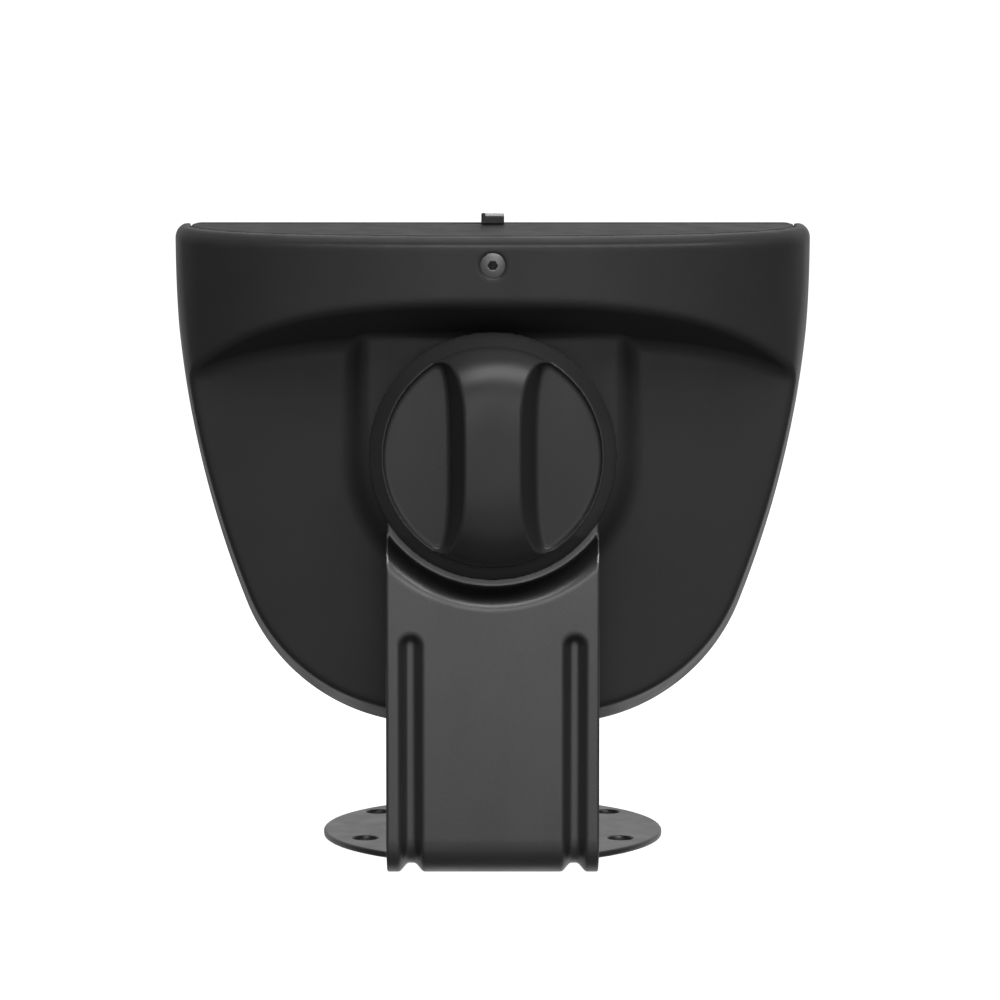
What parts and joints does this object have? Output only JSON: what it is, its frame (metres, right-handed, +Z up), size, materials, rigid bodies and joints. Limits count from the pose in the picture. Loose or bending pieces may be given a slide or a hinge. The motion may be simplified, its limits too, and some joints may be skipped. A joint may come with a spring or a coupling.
{
  "type": "smart display",
  "caption": "Smart display with a D-shaped black head, camera shutter and clamp knob, carried on a pressed steel bracket with a round base plate.",
  "frame": {"origin": "centre of the round base plate's underside", "axes": "+Z up; the screen faces -Y and the clamp knob faces +Y; X runs across the head"},
  "size_m": [0.1618, 0.12, 0.1637],
  "materials": {
    "bracket": "satin dark grey powder coat on pressed steel",
    "shell": "fine moulded texture, black",
    "bezel": "fine moulded texture, black",
    "lid": "fine moulded texture, dark grey",
    "knob": "smooth satin, black",
    "screen_glass": "gloss black cover glass, screen off",
    "lcd": "dark display module",
    "diffuser": "white light guide",
    "sheet_metal": "bare pressed steel",
    "screw_steel": "dull grey plated steel",
    "brass": "turned brass",
    "circuit_board": "green solder mask",
    "connector": "cream connector plastic",
    "graphite": "graphite sheet",
    "flat_cable": "amber polyimide film",
    "antenna": "gold-plated antenna film",
    "lens": "coated lens",
    "camera_body": "black camera housing",
    "grille": "black painted perforated steel",
    "basket": "black speaker basket",
    "cone": "coated paper cone",
    "magnet": "zinc-plated magnet cup",
    "wire": "red insulated wire",
    "seal": "black foam seal",
    "nylon": "natural nylon",
    "friction": "dark friction liner",
    "slider": "black slider",
    "slider_cap": "pale grey inlay"
  },
  "bodies": {
    "bracket": {"bracket": "bracket"},
    "pan_seat": {"thrust_washer": "nylon"},
    "tilt_seat": {"friction_ring": "friction"},
    "head": {"rear_shell": "shell", "front_bezel": "bezel", "top_cover": "lid", "top_screw": "screw_steel", "bezel_gasket": "seal", "threaded_insert": "brass", "cover_glass": "screen_glass", "lcd_panel": "lcd", "backlight": "diffuser", "lcd_frame": "sheet_metal", "frame_screws": "screw_steel", "main_board": "circuit_board", "board_screws": "screw_steel", "shield_can": "sheet_metal", "heat_spreader": "graphite", "board_connectors": "connector", "camera_module": "camera_body", "camera_lens": "lens", "mic_board": "circuit_board", "wifi_antenna": "antenna", "display_flex": "flat_cable", "camera_flex": "flat_cable", "speaker_leads": "wire", "speaker_grille": "grille", "speaker_basket": "basket", "speaker_cone": "cone", "speaker_magnet": "magnet", "speaker_screws": "screw_steel", "usb_board": "circuit_board", "usb_socket": "sheet_metal"},
    "knob": {"knob": "knob", "knob_stud": "screw_steel"},
    "shutter": {"shutter_slider": "slider", "slider_cap": "slider_cap"}
  },
  "joints": [
    {"name": "head_pan", "type": "hinge", "parent": "bracket", "child": "pan_seat", "pos_m": [0, 0.0757, 0.1035], "axis": [0, 0, 1], "range_deg": [-4, 4]},
    {"name": "head_tilt", "type": "hinge", "parent": "pan_seat", "child": "tilt_seat", "pos_m": [0, 0.0757, 0.1035], "axis": [1, 0, 0], "range_deg": [-5, 5]},
    {"name": "head_roll", "type": "hinge", "parent": "tilt_seat", "child": "head", "pos_m": [0, 0.0757, 0.1035], "axis": [0, 1, 0], "range_deg": [-60, 60]},
    {"name": "knob_turn", "type": "hinge", "parent": "head", "child": "knob", "pos_m": [0, 0.0757, 0.1035], "axis": [0, 1, 0], "continuous": true},
    {"name": "shutter_slide", "type": "slide", "parent": "head", "child": "shutter", "axis": [1, 0, 0], "range_m": [0, 0.008]}
  ]
}
